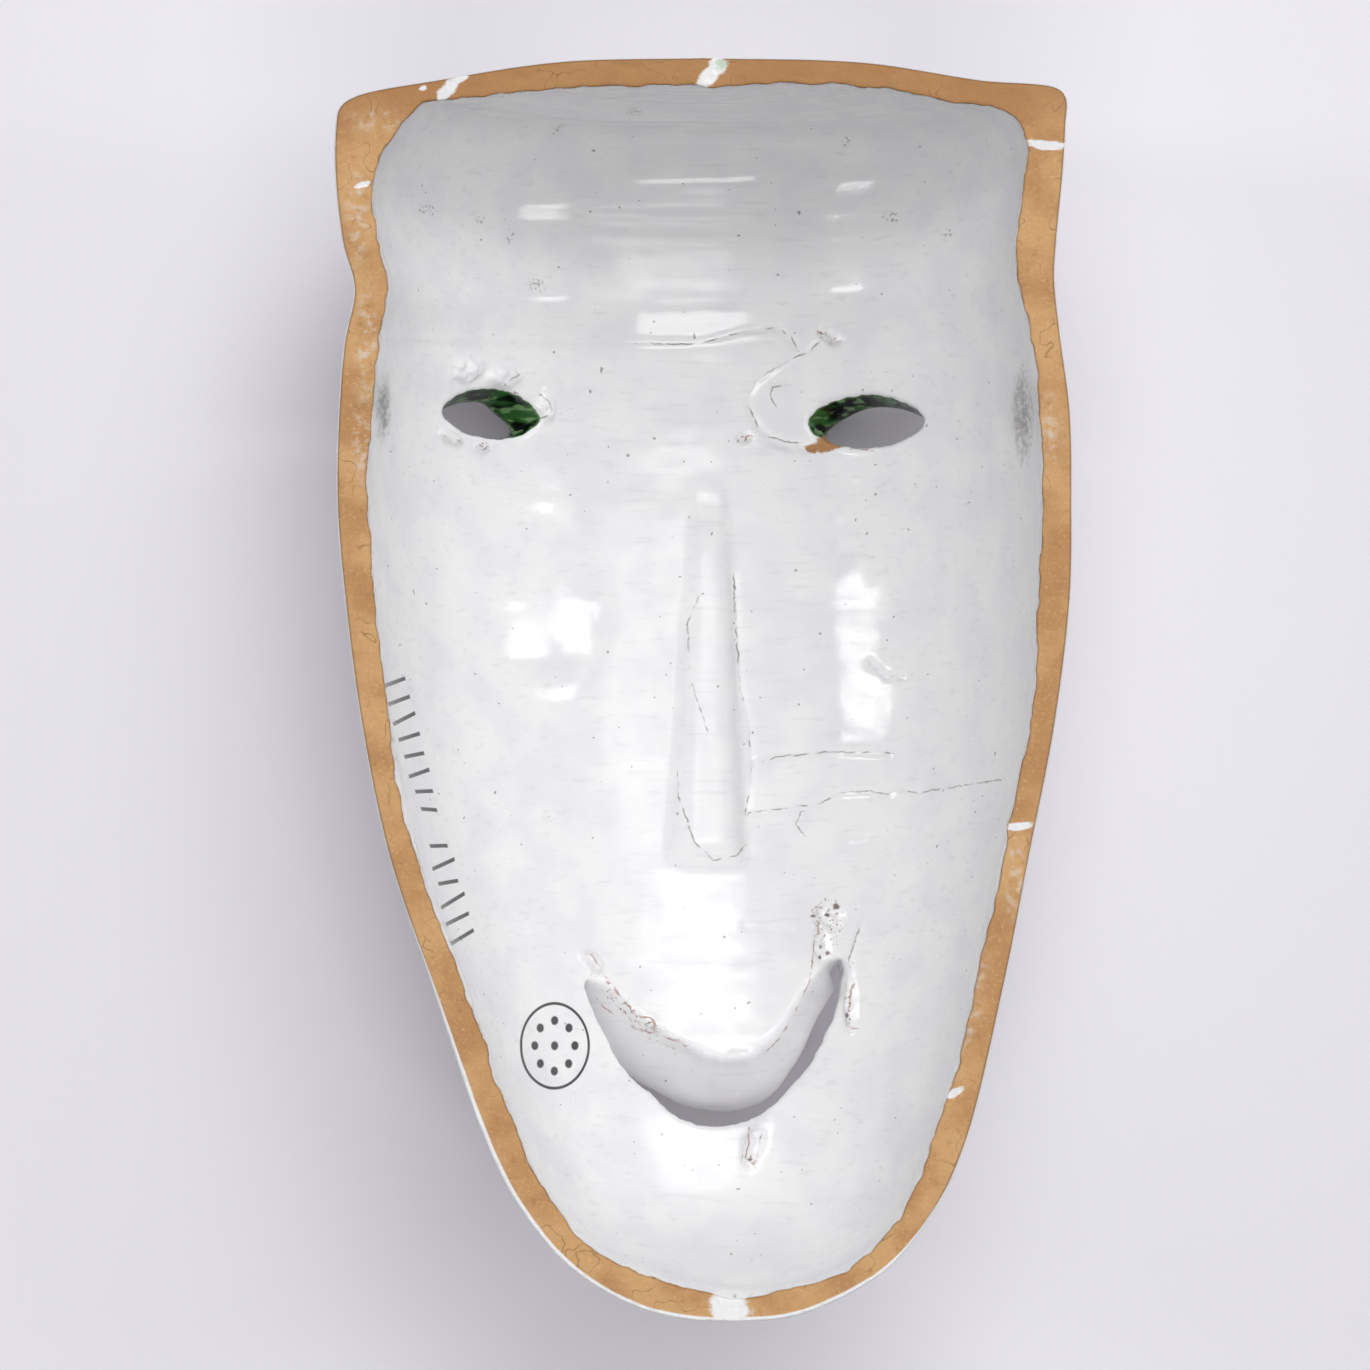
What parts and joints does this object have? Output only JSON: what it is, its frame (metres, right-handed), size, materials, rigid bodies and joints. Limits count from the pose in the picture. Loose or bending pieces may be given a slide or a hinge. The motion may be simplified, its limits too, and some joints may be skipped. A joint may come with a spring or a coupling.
{
  "type": "ceramic wall mask",
  "caption": "Long thrown and cut ceramic face mask with almond eye holes, a long nose and a smiling mouth cut through, open at the back with a flat unglazed rim, for hanging on a wall.",
  "frame": {"origin": "middle of the mask's box, at the level of the flat on the nose that it lies on", "axes": "+Y from chin to crown, +Z out of the open back, +X to the right as seen from the back"},
  "size_m": [0.1926, 0.33, 0.101],
  "materials": {
    "glaze": "glossy white tin glaze over a buff terracotta body, bare on the rim"
  },
  "bodies": {
    "root": {"mask_shell": "glaze"}
  },
  "joints": []
}
